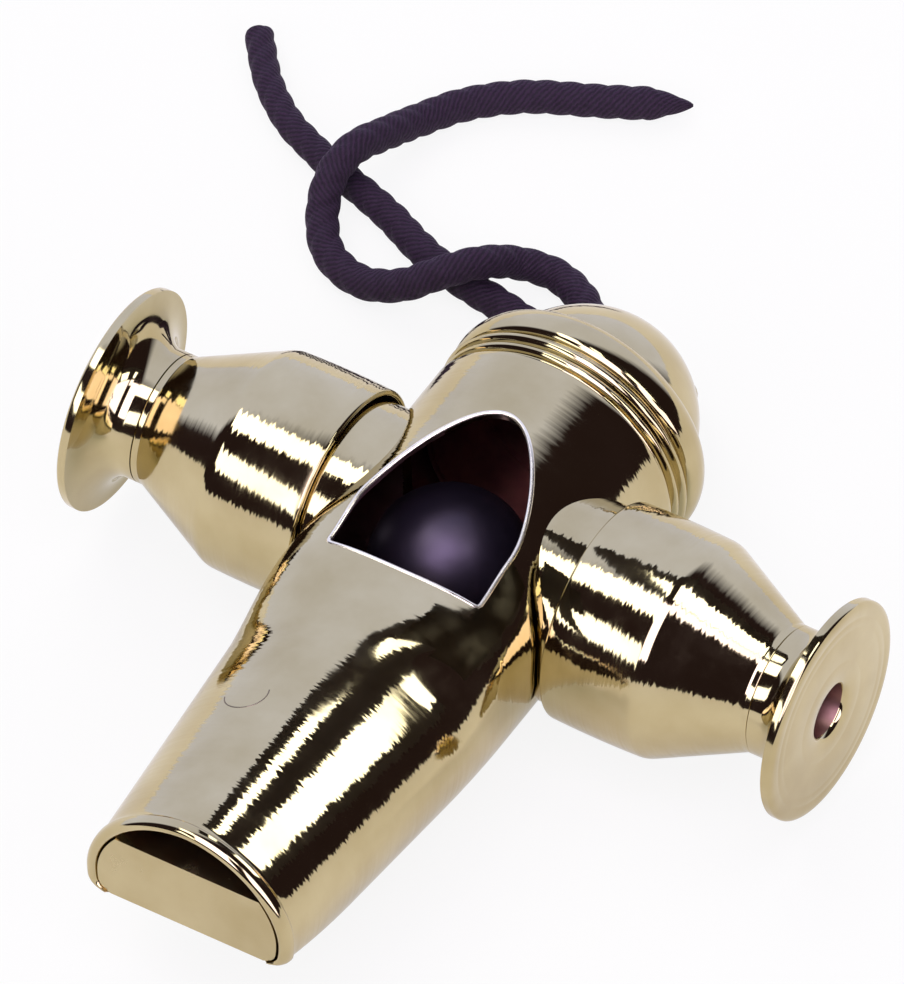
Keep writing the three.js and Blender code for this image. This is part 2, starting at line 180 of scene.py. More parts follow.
# Cord: its points go across, back from the axis of the side bulbs, and up from the table.
CORD_DIAMETER = 2.7
CORD_SIDES = 36
CORD_STEP = 0.22
CORD_FIT = 0.3
CORD_WRAP = math.radians(150)
CORD_WRAP_ANGLES = (256, 54)
LAY_PITCH = 5.6
STRANDS = 3
STRAND_DEPTH = 0.11
STRAND_ROUNDNESS = 0.8
LONG_END_TURN = 1.0
BLUNT_TAPER = 0.13
BLUNT_TAPER_SHARES = (0.3, 0.9)
BLUNT_EDGE = 0.05
BLUNT_EDGE_LENGTH = 0.25
POINT_LENGTH = 3.4
POINT_TIP = 0.08
POINT_FULLNESS = 0.75
SHORT_END = [
    (-1.95, 27.2, 2.3), (-3.7, 27.65, 1.55), (-6, 28.3, 1.4), (-9, 29.3, 1.4), (-12.5, 30.4, 1.4),
    (-16, 31.2, 1.4), (-19.5, 31.8, 1.4), (-22.9, 32.55, 1.4), (-25.6, 33.6, 1.4), (-28.2, 34.8, 1.4),
    (-31.3, 35.9, 1.4), (-34.5, 36.9, 1.4), (-37.4, 38.05, 1.4), (-40.2, 39.35, 1.4), (-43.7, 42.1, 1.4),
    (-47, 46.1, 1.4),
]
LONG_END = [
    (-3.7, 30.1, 5.45), (-5.15, 30.4, 4.2), (-7.1, 31.6, 2.55), (-9.2, 33.3, 1.65), (-11.3, 35.1, 1.45),
    (-14.1, 36.1, 1.5), (-16.9, 34.9, 2.5), (-18.8, 31.8, 4.3), (-20.9, 29.5, 4.1), (-23.4, 28.1, 2.7),
    (-26.8, 27.7, 1.6), (-30.5, 29.1, 1.45), (-32.7, 31.8, 2.2), (-33.4, 34.4, 3.8), (-33.1, 37, 4.5),
    (-32.3, 40.6, 3.4), (-31.5, 44.15, 2), (-29.6, 47.85, 1.4), (-26.1, 50.95, 1.4), (-20.5, 53.75, 1.4),
    (-17.3, 55.4, 1.4), (-14.3, 56.95, 1.4),
]

# Cutting shapes: how far they go past the beak's ends, across or up, down, and along the arms
CUT_MARGIN = 3
CUT_REACH = 14
CUT_DEPTH = -30
SIDE_HOLE_REACH = 20

# The most of a side that a fillet takes, and the cosine below which a face counts as the tube's inside
FILLET_SHARE = 0.49
INWARD_FACING = -0.3

# Camera: the photograph's angle, the pixel where the axes of tube and bulbs cross, and distances in metres
AZIMUTH = math.radians(30.94)
ELEVATION = math.radians(47.43)
PIXELS_PER_MM = 12.916
IMAGE_WIDTH = 904
IMAGE_HEIGHT = 984
CROSSING_COLUMN = 473.55
CROSSING_ROW = 554.5
CAMERA_DISTANCE = 0.6
CAMERA_NEAR = 0.001
CAMERA_FAR = 50

# Finishes: darkest and lightest tint, and lowest and highest roughness
PLATE_TINTS = ((0.50, 0.41, 0.21), (0.60, 0.51, 0.29))
# The window rim's pale tints are a painted highlight along the window's edge.
RIM_HIGHLIGHT_TINTS = ((0.88, 0.79, 0.6), (0.98, 0.9, 0.72))
# The inside tints are darker than the plate: painted shade in the hollows. The higher roughness is the
# unpolished inside.
INSIDE_SHADE_TINTS = ((0.16, 0.08, 0.075), (0.34, 0.19, 0.16))
SCRATCH_TINTS = ((0.16, 0.12, 0.09), (0.3, 0.24, 0.16))
CORD_TINTS = ((0.0085, 0.0034, 0.0088), (0.024, 0.0098, 0.0245))
PEA_TINTS = ((0.002, 0.0015, 0.003), (0.005, 0.004, 0.0075))
POLISHED = (0.04, 0.12)
SATIN = (0.16, 0.3)
RIM_ROUGHNESS = (0.2, 0.34)
DULL = (0.3, 0.5)
CORD_ROUGHNESS = (0.6, 0.9)
PEA_ROUGHNESS = (0.4, 0.46)
MATT = 0.9

# Streaks round the drawn tubes: many to a metre along the tube, few across it
STREAKS_ALONG = 4200
STREAKS_ACROSS = 60
STREAKS_Y = (STREAKS_ACROSS, STREAKS_ALONG, STREAKS_ACROSS)
STREAKS_X = (STREAKS_ALONG, STREAKS_ACROSS, STREAKS_ACROSS)
STREAK_SWING = 0.085

# Floor, in metres, and how white it is to the camera and to metal
FLOOR_HALF = 4
FLOOR_COLOUR = (0.6, 0.59, 0.52, 1)
FLOOR_WHITE_SEEN = 0.88
FLOOR_WHITE_MIRRORED = 0.4

# World, by direction: where the pale side starts, where it ends in front, and five softboxes. Each has its
# reach in x, its span in degrees forward of straight up, the x where its slant starts, the slant in degrees
# for each unit of x, and its colour.
PALE_SIDE = (0.85, 0.92, 1.36)
DARK_SIDE = (0.026, 0.016, 0.02)
WHITE = (1.0, 1.0, 1.0)
BEHIND_WEIGHT = 0.82
PALE_START = (0.18, 0.46)
PALE_FRONT = (-0.2, -0.06)
HORIZON = (-0.01, 0.01)
SOFTBOXES = (
    ((-0.52, -0.2), (2, 22), -0.348, -15.0, (4.2, 4.2, 4.6)),
    ((-0.50, -0.22), (47, 68), -0.36, -60.0, (3.5, 3.5, 3.9)),
    ((-0.2, 0.38), (6, 66), 0, 0.0, (3.9, 3.5, 4.9)),
    ((0.38, 0.56), (1, 12), 0.45, 0.0, (3.1, 2.9, 3.9)),
    ((0.62, 1.0), (2, 66), 0, 0.0, (3.2, 2.9, 4.0)),
)
SOFTBOX_SIDE_BLUR = 0.012
SOFTBOX_END_BLUR = 1.0

# Key lamp, in metres
KEY_PLACE = (-0.45, 0.45, 0.8)
KEY_SIZE = 0.9
KEY_POWER = 5.0
KEY_COLOUR = (1.0, 0.93, 0.78)

# Two white strips in front of a dark card over the beak, square to the light that the beak mirrors to the
# camera, and two small cards that keep the strips out of the metal beside the window
BEAK_MIDDLE = (0, -28, 8)
MIRRORED = Vector((0.344, 0.58, 0.738))
ALONG_CARD = (Vector((0, 1, 0)) - MIRRORED * MIRRORED.y).normalized()
ACROSS_CARD = ALONG_CARD.cross(MIRRORED)
STRIP_DISTANCE = 65
STRIP_LIGHT = 4.2
STRIP_COLOUR = (0.9, 0.92, 1.0)
STRIPS = (("narrow_strip", -27, -16, -11, 4), ("broad_strip", 7, 39, -15, 3))
CARD_DISTANCE = 66
CARD_COLOUR = (0.02, 0.014, 0.016, 1)
BEAK_CARD = ((-43, -16), (56, -16), (56, 13), (-43, 13))
WINDOW_CARD_HEIGHT = 13.5
WINDOW_CARD = ((2.5, -14.3), (9.7, -14.3), (9.7, -8.5), (2.5, -8.5))
SIDE_CARD = ((7.2, -16, 11.22), (12.4, -16, 7.6), (11.1, -4.6, 8.5), (7.2, -4.6, 11.22))


def at(x, y, z):
    """A point of the frame, in metres, from millimetres about the crossing of the axes."""
    return Vector((x, y + CROSS_Y, z + AXIS_HEIGHT)) * MM


def linked(name, data):
    """A new object with this data, in the scene."""
    thing = bpy.data.objects.new(name, data)
    bpy.context.collection.objects.link(thing)
    return thing


def set_axes(thing, x_axis, y_axis, z_axis):
    """Turns a camera or a lamp so that its own axes lie along these."""
    thing.matrix_world = Matrix((x_axis, y_axis, z_axis)).transposed().to_4x4()


def add_camera():
    level = math.cos(ELEVATION)
    back = Vector((math.sin(AZIMUTH) * level, -math.cos(AZIMUTH) * level, math.sin(ELEVATION)))
    right = Vector((math.cos(AZIMUTH), math.sin(AZIMUTH), 0))
    up = back.cross(right)
    shift = right * (IMAGE_WIDTH / 2 - CROSSING_COLUMN) + up * (CROSSING_ROW - IMAGE_HEIGHT / 2)
    camera = linked("camera", bpy.data.cameras.new("camera"))
    camera.data.type = "ORTHO"
    camera.data.ortho_scale = IMAGE_HEIGHT / PIXELS_PER_MM * MM
    camera.data.clip_start = CAMERA_NEAR
    camera.data.clip_end = CAMERA_FAR
    set_axes(camera, right, up, back)
    camera.location = at(0, 0, 0) + shift / PIXELS_PER_MM * MM + back * CAMERA_DISTANCE
    bpy.context.scene.camera = camera


add_camera()


# Shader nodes
def new_material(name):
    material = bpy.data.materials.new(name)
    material.use_nodes = True
    tree = material.node_tree
    return material, tree, tree.nodes["Principled BSDF"]


def add(tree, kind, **settings):
    """A node with settings, each named after one of its sockets or properties."""
    node = tree.nodes.new(kind)
    for key, value in settings.items():
        if key in node.inputs.keys():
            node.inputs[key].default_value = value
        else:
            setattr(node, key, value)
    return node


def texture_space(tree, scale):
    """Coordinates in metres times a scale, which is one number or three."""
    coordinates = add(tree, "ShaderNodeTexCoord")
    mapping = add(tree, "ShaderNodeMapping")
    mapping.inputs["Scale"].default_value = scale if isinstance(scale, tuple) else (scale,) * 3
    tree.links.new(coordinates.outputs["Object"], mapping.inputs["Vector"])
    return mapping.outputs["Vector"]


def noise(tree, scale, detail=2.0, roughness=0.5):
    """Noise with about that many cells to a metre."""
    node = add(tree, "ShaderNodeTexNoise", Scale=1.0, Detail=detail, Roughness=roughness)
    tree.links.new(texture_space(tree, scale), node.inputs["Vector"])
    return node.outputs["Fac"]


def ranged(tree, value, low, high, to_low, to_high):
    """A value between low and high, moved to another range and kept inside it."""
    node = add(tree, "ShaderNodeMapRange")
    for key, number in zip(("From Min", "From Max", "To Min", "To Max"), (low, high, to_low, to_high)):
        node.inputs[key].default_value = number
    tree.links.new(value, node.inputs["Value"])
    return node.outputs["Result"]


def calc(tree, operation, *values):
    """The result of a math node on numbers and sockets."""
    node = add(tree, "ShaderNodeMath", operation=operation)
    for socket, value in zip(node.inputs, values):
        if isinstance(value, (int, float)):
            socket.default_value = value
        else:
            tree.links.new(value, socket)
    return node.outputs[0]


def tinted(tree, value, tints):
    """A colour between the two tints."""
    ramp = add(tree, "ShaderNodeValToRGB")
    for element, tint in zip(ramp.color_ramp.elements, tints):
        element.color = (*tint, 1)
    tree.links.new(value, ramp.inputs["Fac"])
    return ramp.outputs["Color"]


def bumped(tree, value, distance, before=None):
    """A normal roughened by a value that rises that many metres, over an earlier bump if there is one."""
    node = add(tree, "ShaderNodeBump", Strength=1.0, Distance=distance)
    tree.links.new(value, node.inputs["Height"])
    if before is not None:
        tree.links.new(before, node.inputs["Normal"])
    return node.outputs["Normal"]


def swung(tree, value, axis, reach):
    """The surface's normal, swung about the axis by a value that runs from 0 to 1."""
    normal = add(tree, "ShaderNodeNewGeometry").outputs["Normal"]
    around = add(tree, "ShaderNodeVectorMath", operation="CROSS_PRODUCT")
    around.inputs[0].default_value = axis
    tree.links.new(normal, around.inputs[1])
    swing = add(tree, "ShaderNodeVectorMath", operation="SCALE")
    tree.links.new(around.outputs[0], swing.inputs[0])
    tree.links.new(ranged(tree, value, 0, 1, -reach, reach), swing.inputs["Scale"])
    total = add(tree, "ShaderNodeVectorMath", operation="ADD")
    tree.links.new(normal, total.inputs[0])
    tree.links.new(swing.outputs[0], total.inputs[1])
    even = add(tree, "ShaderNodeVectorMath", operation="NORMALIZE")
    tree.links.new(total.outputs[0], even.inputs[0])
    return even.outputs[0]


# Materials
def gold(name, ripple_scale, ripple, line_scale, line, rough=POLISHED, tints=PLATE_TINTS, axis=None):
    """Gold plate with streaks about an axis or else ripples, fine polishing lines, smudges and tints."""
    material, tree, shader = new_material(name)
    cloud = ranged(tree, noise(tree, 170, detail=4), 0.3, 0.7, 0, 1)
    tree.links.new(tinted(tree, cloud, tints), shader.inputs["Base Color"])
    smudge = noise(tree, 420, detail=5, roughness=0.65)
    tree.links.new(ranged(tree, smudge, 0.35, 0.75, *rough), shader.inputs["Roughness"])
    shader.inputs["Metallic"].default_value = 1.0
    if axis:
        streaks = noise(tree, ripple_scale, detail=2.5, roughness=0.6)
        normal = swung(tree, streaks, axis, ripple)
    else:
        normal = bumped(tree, noise(tree, ripple_scale, detail=1.5), ripple)
    normal = bumped(tree, noise(tree, line_scale, detail=3, roughness=0.6), line, normal)
    tree.links.new(normal, shader.inputs["Normal"])
    return material


def cord_material():
    """Dark violet yarn, wound along the cord's own lay, with fuzz."""
    material, tree, shader = new_material("black_cord")
    coordinates = add(tree, "ShaderNodeTexCoord")
    yarn = add(tree, "ShaderNodeTexWave", Scale=1.0, Distortion=2.5, Detail=2.0)
    yarn.inputs["Detail Scale"].default_value = 3.0
    yarn.bands_direction = "DIAGONAL"
    mapping = add(tree, "ShaderNodeMapping")
    mapping.inputs["Scale"].default_value = (9, 7, 1)
    tree.links.new(coordinates.outputs["UV"], mapping.inputs["Vector"])
    tree.links.new(mapping.outputs["Vector"], yarn.inputs["Vector"])
    fuzz = noise(tree, 5200, detail=3, roughness=0.7)
    depth = calc(tree, "MULTIPLY", yarn.outputs["Fac"], fuzz)
    colour = tinted(tree, ranged(tree, depth, 0.05, 0.55, 0, 1), CORD_TINTS)
    tree.links.new(colour, shader.inputs["Base Color"])
    tree.links.new(ranged(tree, fuzz, 0.3, 0.7, *CORD_ROUGHNESS), shader.inputs["Roughness"])
    shader.inputs["Sheen Weight"].default_value = 0.06
    shader.inputs["Sheen Tint"].default_value = (0.55, 0.42, 0.62, 1)
    shader.inputs["Specular IOR Level"].default_value = 0.25
    normal = bumped(tree, yarn.outputs["Fac"], 4e-5)
    tree.links.new(bumped(tree, fuzz, 2.5e-5, normal), shader.inputs["Normal"])
    return material


def pea_material():
    """Satin black plastic with a violet gloss."""
    material, tree, shader = new_material("black_plastic")
    tree.links.new(tinted(tree, noise(tree, 500, detail=4), PEA_TINTS), shader.inputs["Base Color"])
    rough = ranged(tree, noise(tree, 900, detail=4), 0.3, 0.7, *PEA_ROUGHNESS)
    tree.links.new(rough, shader.inputs["Roughness"])
    shader.inputs["IOR"].default_value = 1.8
    shader.inputs["Specular IOR Level"].default_value = 0.5
    shader.inputs["Specular Tint"].default_value = (0.95, 0.76, 1.0, 1)
    tree.links.new(bumped(tree, noise(tree, 2600, detail=3), 4e-6), shader.inputs["Normal"])
    return material


gold_along_y = gold("gold_drawn_along_y", ripple_scale=STREAKS_Y, ripple=STREAK_SWING, line_scale=900,
                    line=0.8e-6, axis=(0, 1, 0))
gold_along_x = gold("gold_drawn_along_x", ripple_scale=STREAKS_X, ripple=STREAK_SWING, line_scale=900,
                    line=0.8e-6, axis=(1, 0, 0))
gold_turned = gold("gold_turned", ripple_scale=300, ripple=6e-6, line_scale=5000, line=0.8e-6)
# Pale metal on the window's edge: a painted highlight.
gold_rim_painted_highlight = gold("gold_rim_painted_highlight", ripple_scale=900, ripple=4e-6, line_scale=6000, line=1e-6,
                      rough=RIM_ROUGHNESS, tints=RIM_HIGHLIGHT_TINTS)
# Darker tint on the inside faces: painted shade. Its roughness is the unpolished inside.
gold_shaded_inside = gold("gold_unpolished_shaded_inside", ripple_scale=500, ripple=2e-5, line_scale=4000, line=3e-6,
                   rough=DULL, tints=INSIDE_SHADE_TINTS)
gold_mark = gold("gold_scratch", ripple_scale=900, ripple=6e-6, line_scale=7000, line=2e-6,
                 rough=DULL, tints=SCRATCH_TINTS)
gold_satin = gold("gold_satin", ripple_scale=600, ripple=8e-6, line_scale=7000, line=2e-6, rough=SATIN)
black_cord = cord_material()


# Pieces on their bodies
def link(name, mesh, material, body, slot, *nodes, smooth=35, inside=None):
    """Puts a piece on its body.

    Inside says which faces are unpolished and tinted darker, a painted shade, by their centre and normal in
    metres.
    """
    mesh.shade_smooth()
    mesh.set_sharp_from_angle(angle=math.radians(smooth))
    mesh.materials.clear()
    mesh.materials.append(material)
    if inside:
        mesh.materials.append(gold_shaded_inside)
    for face in mesh.polygons:
        unpolished_and_shaded = inside and inside(face.center - at(0, 0, 0), face.normal)
        face.material_index = 1 if unpolished_and_shaded else 0
    piece = linked(name, mesh)
    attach(piece, body)
    if nodes:
        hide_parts(*nodes)
    return piece


def plate(name, mesh, material, *nodes, **settings):
    """A gold-plated piece of the whistle."""
    return link(name, mesh, material, "whistle", "gold_plate", *nodes, **settings)


def cord_piece(name, mesh, node):
    return link(name, mesh, black_cord, "whistle", "black_cord", node, smooth=70)


# Meshes
def mesh_of(name, points, faces):
    """A mesh from points in millimetres about the crossing of the axes, its faces turned outwards."""
    work = bmesh.new()
    corners = [work.verts.new(at(*p)) for p in points]
    for face in faces:
        work.faces.new([corners[i] for i in face])
    bmesh.ops.remove_doubles(work, verts=work.verts, dist=1e-7)
    bmesh.ops.recalc_face_normals(work, faces=work.faces)
    mesh = bpy.data.meshes.new(name)
    work.to_mesh(mesh)
    work.free()
    return mesh


def ring_faces(rings, count, closed):
    """Quads between rings of points, from the last ring to the first too where the skin is closed."""
    faces = []
    for ring in range(rings if closed else rings - 1):
        near = ring * count
        far = (ring + 1) % rings * count
        for i in range(count):
            j = (i + 1) % count
            faces.append((near + i, near + j, far + j, far + i))
    return faces


def end_faces(rings, count):
    """One face over the first ring and one over the last."""
    return [tuple(range(count)), tuple(range((rings - 1) * count, rings * count))]


def rounded(corners, steps=5):
    """Corners of a closed profile, (along, radius) or (along, radius, fillet), with the fillets drawn."""
    result = []
    for i, corner in enumerate(corners):
        here = Vector(corner[:2])
        fillet = corner[2] if len(corner) > 2 else 0
        if not fillet:
            result.append(tuple(here))
            continue
        before = Vector(corners[i - 1][:2]) - here
        after = Vector(corners[(i + 1) % len(corners)][:2]) - here
        half = before.angle(after) / 2
        reach = min(fillet / math.tan(half), FILLET_SHARE * before.length, FILLET_SHARE * after.length)
        radius = reach * math.tan(half)
        start = here + before.normalized() * reach
        end = here + after.normalized() * reach
        inward = (before.normalized() + after.normalized()).normalized()
        middle = here + inward * (radius / math.sin(half))
        arm = start - middle
        sweep = arm.angle_signed(end - middle)
        for k in range(steps + 1):
            angle = -sweep * k / steps
            c, s = math.cos(angle), math.sin(angle)
            result.append((middle.x + c * arm.x - s * arm.y, middle.y + s * arm.x + c * arm.y))
    return result


def turned(name, profile, axis, segments=160):
    """A closed profile of (along, radius) turned about the whistle's Y axis or an arm's X axis."""
    points = []
    for along, radius in profile:
        for i in range(segments):
            angle = 2 * math.pi * i / segments
            a, b = radius * math.cos(angle), radius * math.sin(angle)
            if axis == "y":
                points.append((a, along, b))
            else:
                points.append((along if axis == "right" else -along, a, b))
    return mesh_of(name, points, ring_faces(len(profile), segments, True))


def capped(name, rings):
    """A closed solid through rings of points, with a flat end on the first and the last."""
    count = len(rings[0])
    points = [p for ring in rings for p in ring]
    return mesh_of(name, points, ring_faces(len(rings), count, False) + end_faces(len(rings), count))


def prism(name, outline, place):
    """A closed prism: place(u, v, side) puts a corner of the outline on side 0 or 1."""
    count = len(outline)
    points = [place(u, v, side) for side in (0, 1) for u, v in outline]
    return mesh_of(name, points, ring_faces(2, count, False) + end_faces(2, count))


def across_tube(y, z, side):
    """Places a corner of a side view on either side of the whistle."""
    return CUT_REACH * (2 * side - 1), y, z


def cut(mesh, *tools):
    """The mesh after exact booleans with (operation, mesh) pairs."""
    target = linked("cut_target", mesh)
    helpers = [target]
    for operation, tool in tools:
        helper = linked("cut_tool", tool)
        helpers.append(helper)
        modifier = target.modifiers.new("cut", "BOOLEAN")
        modifier.operation = operation
        modifier.solver = "EXACT"
        modifier.object = helper
    graph = bpy.context.evaluated_depsgraph_get()
    result = bpy.data.meshes.new_from_object(target.evaluated_get(graph))
    for helper in helpers:
        bpy.data.objects.remove(helper)
    result.name = mesh.name
    return result


# Shares and places
def clamp(value, low=0.0, high=1.0):
    return max(low, min(high, value))


def mix(a, b, share):
    return a + (b - a) * share


def smooth_step(value, low, high):
    t = clamp((value - low) / (high - low))
    return t * t * (3 - 2 * t)


def eased(distance, length, ease):
    """Share of the way along a taper, its start eased so that no crease shows."""
    if distance < -ease:
        return 0.0
    if distance < ease:
        return (distance + ease) ** 2 / (4 * ease) / length
    return clamp(distance / length)


def quarter_turn(count):
    """Angles from 0 to a right angle."""
    return [math.pi / 2 * k / count for k in range(count + 1)]


def underside_at(y):
    """Height of the mouthpiece's flat underside at one place."""
    return mix(-TUBE_RADIUS, LIP_UNDERSIDE, (HEEL_Y - y) / (HEEL_Y - LIP_Y))


def tube_section(y, offset, count=TUBE_SIDES):
    """The tube's outline at one place, grown by an offset.

    Its roof is round at the rear, flattened at the window's front edge and peaked on the beak. Its bottom
    is round, and draws in to round the corners of the mouthpiece's flat underside.
    """
    flattening = 1 - smooth_step(y, WINDOW_Y, WINDOW_Y + ROOF_BLEND)
    along_roof = eased(WINDOW_Y - y, WINDOW_Y - LIP_Y, ROOF_EASE)
    across = mix(TUBE_RADIUS, LIP_HALF_WIDTH, eased(BEAK_Y - y, BEAK_Y - LIP_Y, BEAK_EASE)) + offset
    roof = mix(mix(TUBE_RADIUS, ROOF_HEIGHT, flattening), LIP_TOP, along_roof) + offset
    squareness = mix(2, ROOF_SQUARENESS, flattening)
    bow = 2 / mix(squareness, BEAK_SQUARENESS, smooth_step(along_roof, 0, BEAK_PEAK_SHARE))
    floor = underside_at(y)
    corner = UNDERSIDE_CORNER * clamp((HEEL_Y - y) / UNDERSIDE_CORNER_RUN)
    points = []
    for i in range(count):
        angle = 2 * math.pi * i / count
        c, s = math.cos(angle), math.sin(angle)
        if s > 0:
            points.append((across * math.copysign(abs(c) ** bow, c), y, roof * s ** bow))
            continue
        sunk = clamp((floor + corner - across * s) / max(corner, 1e-6)) if corner else 0
        inset = corner * (1 - math.sqrt(1 - sunk * sunk))
        points.append((math.copysign(max(abs(across * c) - inset, 0), c), y, across * s))
    return points


def tube_places(first, last, step=0.6):
    count = max(2, round(abs(last - first) / step))
    return [mix(first, last, i / count) for i in range(count + 1)]


def roof_at(x, y, count=720):
    """Height of the tube's outside over a point."""
    outline = [p for p in tube_section(y, 0, count) if p[2] >= 0 and p[0] * x >= 0]
    outline.sort(key=lambda p: abs(p[0]))
    for inner, outer in zip(outline, outline[1:]):
        if abs(inner[0]) <= abs(x) <= abs(outer[0]):
            share = (abs(x) - abs(inner[0])) / max(abs(outer[0]) - abs(inner[0]), 1e-9)
            return mix(inner[2], outer[2], share)
    return outline[0][2] if abs(x) < abs(outline[0][0]) else outline[-1][2]


def along_loop(x, reach, rise):
    """A point of the frame, in millimetres, by its reach out of the dome in the loop's own direction."""
    c, s = math.cos(LOOP_TILT), math.sin(LOOP_TILT)
    return Vector((x, DOME_Y + reach * c + rise * s + CROSS_Y, -reach * s + rise * c + AXIS_HEIGHT))


# Cord: three strands laid together, swept along a route
def curve_through(points, detail=24):
    """Close points on a centripetal Catmull-Rom curve through the points."""
    route = [Vector(p) for p in points]
    route = [route[0] * 2 - route[1]] + route + [route[-1] * 2 - route[-2]]
    curve = []
    for p0, p1, p2, p3 in zip(route, route[1:], route[2:], route[3:]):
        t0 = 0.0
        t1 = t0 + (p1 - p0).length ** 0.5
        t2 = t1 + (p2 - p1).length ** 0.5
        t3 = t2 + (p3 - p2).length ** 0.5
        for k in range(detail):
            t = mix(t1, t2, k / detail)
            a1 = p0 * ((t1 - t) / (t1 - t0)) + p1 * ((t - t0) / (t1 - t0))
            a2 = p1 * ((t2 - t) / (t2 - t1)) + p2 * ((t - t1) / (t2 - t1))
            a3 = p2 * ((t3 - t) / (t3 - t2)) + p3 * ((t - t2) / (t3 - t2))
            b1 = a1 * ((t2 - t) / (t2 - t0)) + a2 * ((t - t0) / (t2 - t0))
            b2 = a2 * ((t3 - t) / (t3 - t1)) + a3 * ((t - t1) / (t3 - t1))
            curve.append(b1 * ((t2 - t) / (t2 - t1)) + b2 * ((t - t1) / (t2 - t1)))
    curve.append(route[-2])
    return curve


def even_steps(curve, step):
    """Points on a curve in steps of equal length, and the curve's length."""
    lengths = [0.0]
    for a, b in zip(curve, curve[1:]):
        lengths.append(lengths[-1] + (b - a).length)
    count = max(2, round(lengths[-1] / step))
    result = []
    k = 0
    for i in range(count + 1):
        goal = lengths[-1] * i / count
        while k < len(lengths) - 2 and lengths[k + 1] < goal:
            k += 1
        share = (goal - lengths[k]) / max(lengths[k + 1] - lengths[k], 1e-12)
        result.append(curve[k].lerp(curve[k + 1], clamp(share)))
    return result, lengths[-1]


def twisted(name, points, width_at, start_turn=0.0):
    """A twisted cord through points in millimetres, with its path and length in metres.

    width_at(along, length) gives its share of the full width at a place.
    """
    path, length = even_steps(curve_through(points), CORD_STEP)
    total = len(path)
    side = None
    skin = []
    lay = []
    for i, p in enumerate(path):
        ahead = (path[min(i + 1, total - 1)] - path[max(i - 1, 0)]).normalized()
        if side is None:
            side = ahead.orthogonal()
        side = (side - ahead * side.dot(ahead)).normalized()
        other = ahead.cross(side)
        along = length * i / (total - 1)
        width = width_at(along, length) * CORD_DIAMETER / 2
        for k in range(CORD_SIDES):
            angle = 2 * math.pi * k / CORD_SIDES
            lobe = angle - start_turn - 2 * math.pi * along / LAY_PITCH
            strand = abs(math.cos(STRANDS / 2 * lobe)) ** STRAND_ROUNDNESS
            radius = width * (1 - STRAND_DEPTH + STRAND_DEPTH * strand)
            skin.append(p + (side * math.cos(angle) + other * math.sin(angle)) * radius)
            lay.append((angle / (2 * math.pi), along / LAY_PITCH))
    start, end = end_faces(total, CORD_SIDES)
    faces = ring_faces(total, CORD_SIDES, False) + [tuple(reversed(start)), end]
    mesh = bpy.data.meshes.new(name)
    mesh.from_pydata([p * MM for p in skin], [], faces)
    layer = mesh.uv_layers.new(name="lay")
    for loop in mesh.loops:
        layer.data[loop.index].uv = lay[loop.vertex_index]
    return mesh, [p * MM for p in path], length * MM


def blunt(along, length):
    """A cut end, slightly worn."""
    taper = BLUNT_TAPER * smooth_step(along / length, *BLUNT_TAPER_SHARES)
    edge = BLUNT_EDGE * clamp(1 - (length - along) / BLUNT_EDGE_LENGTH)
    return 1 - taper - edge


def pointed(along, length):
    """An end drawn out to a point."""
    return mix(POINT_TIP, 1, clamp((length - along) / POINT_LENGTH) ** POINT_FULLNESS)


def whole(along, length):
    """Full width all along."""
    return 1.0


def free_end(name, points, width_at, start_turn=0.0):
    """A free end of the cord, whose declared path leaves out the last thin steps."""
    route = [Vector((x, y + CROSS_Y, z)) for x, y, z in points]
    mesh, path, length = twisted(name, route, width_at, start_turn)
    piece = cord_piece(name, mesh, f"{name}_end")


def cord_bend(steps=20):
    """The bend of the cord round the loop's wire."""
    radius = LOOP_WIRE / 2 + CORD_FIT + CORD_DIAMETER / 2
    route = []
    for i in range(steps + 1):
        angle = math.radians(mix(*CORD_WRAP_ANGLES, i / steps))
        out = radius * math.cos(angle) + LOOP_RADIUS
        reach = LOOP_REACH + out * math.sin(CORD_WRAP)
        route.append(along_loop(out * math.cos(CORD_WRAP), reach, radius * math.sin(angle)))
    mesh = twisted("cord_bend_twist", route, whole)[0]
    cord_piece("cord_bend_twist", mesh, "cord_bend")


# Main tube: a drawn shell with a lip bead, cut for the underside, the window and the side arms
def window_outline(steps=32):
    """A straight front edge with small rounded corners, and an arch behind."""
    straight = WINDOW_Y + WINDOW_STRAIGHT
    top = straight + WINDOW_ARCH
    w = WINDOW_HALF_WIDTH
    corner = WINDOW_CORNER
    bevel = WINDOW_CORNER_SHARE * corner
    controls = ((w, straight), (w, straight + WINDOW_ARCH_SIDE_SHARE * WINDOW_ARCH),
                (WINDOW_ARCH_TOP_SHARE * w, top), (0, top))
    p0, p1, p2, p3 = (Vector(p) for p in controls)
    half = [(w - corner, WINDOW_Y), (w - bevel, WINDOW_Y + bevel), (w, WINDOW_Y + corner)]
    for k in range(steps + 1):
        t = k / steps
        u = 1 - t
        half.append(tuple(p0 * u ** 3 + p1 * 3 * t * u ** 2 + p2 * 3 * t * t * u + p3 * t ** 3))
    return half + [(-x, y) for x, y in reversed(half[:-1])]


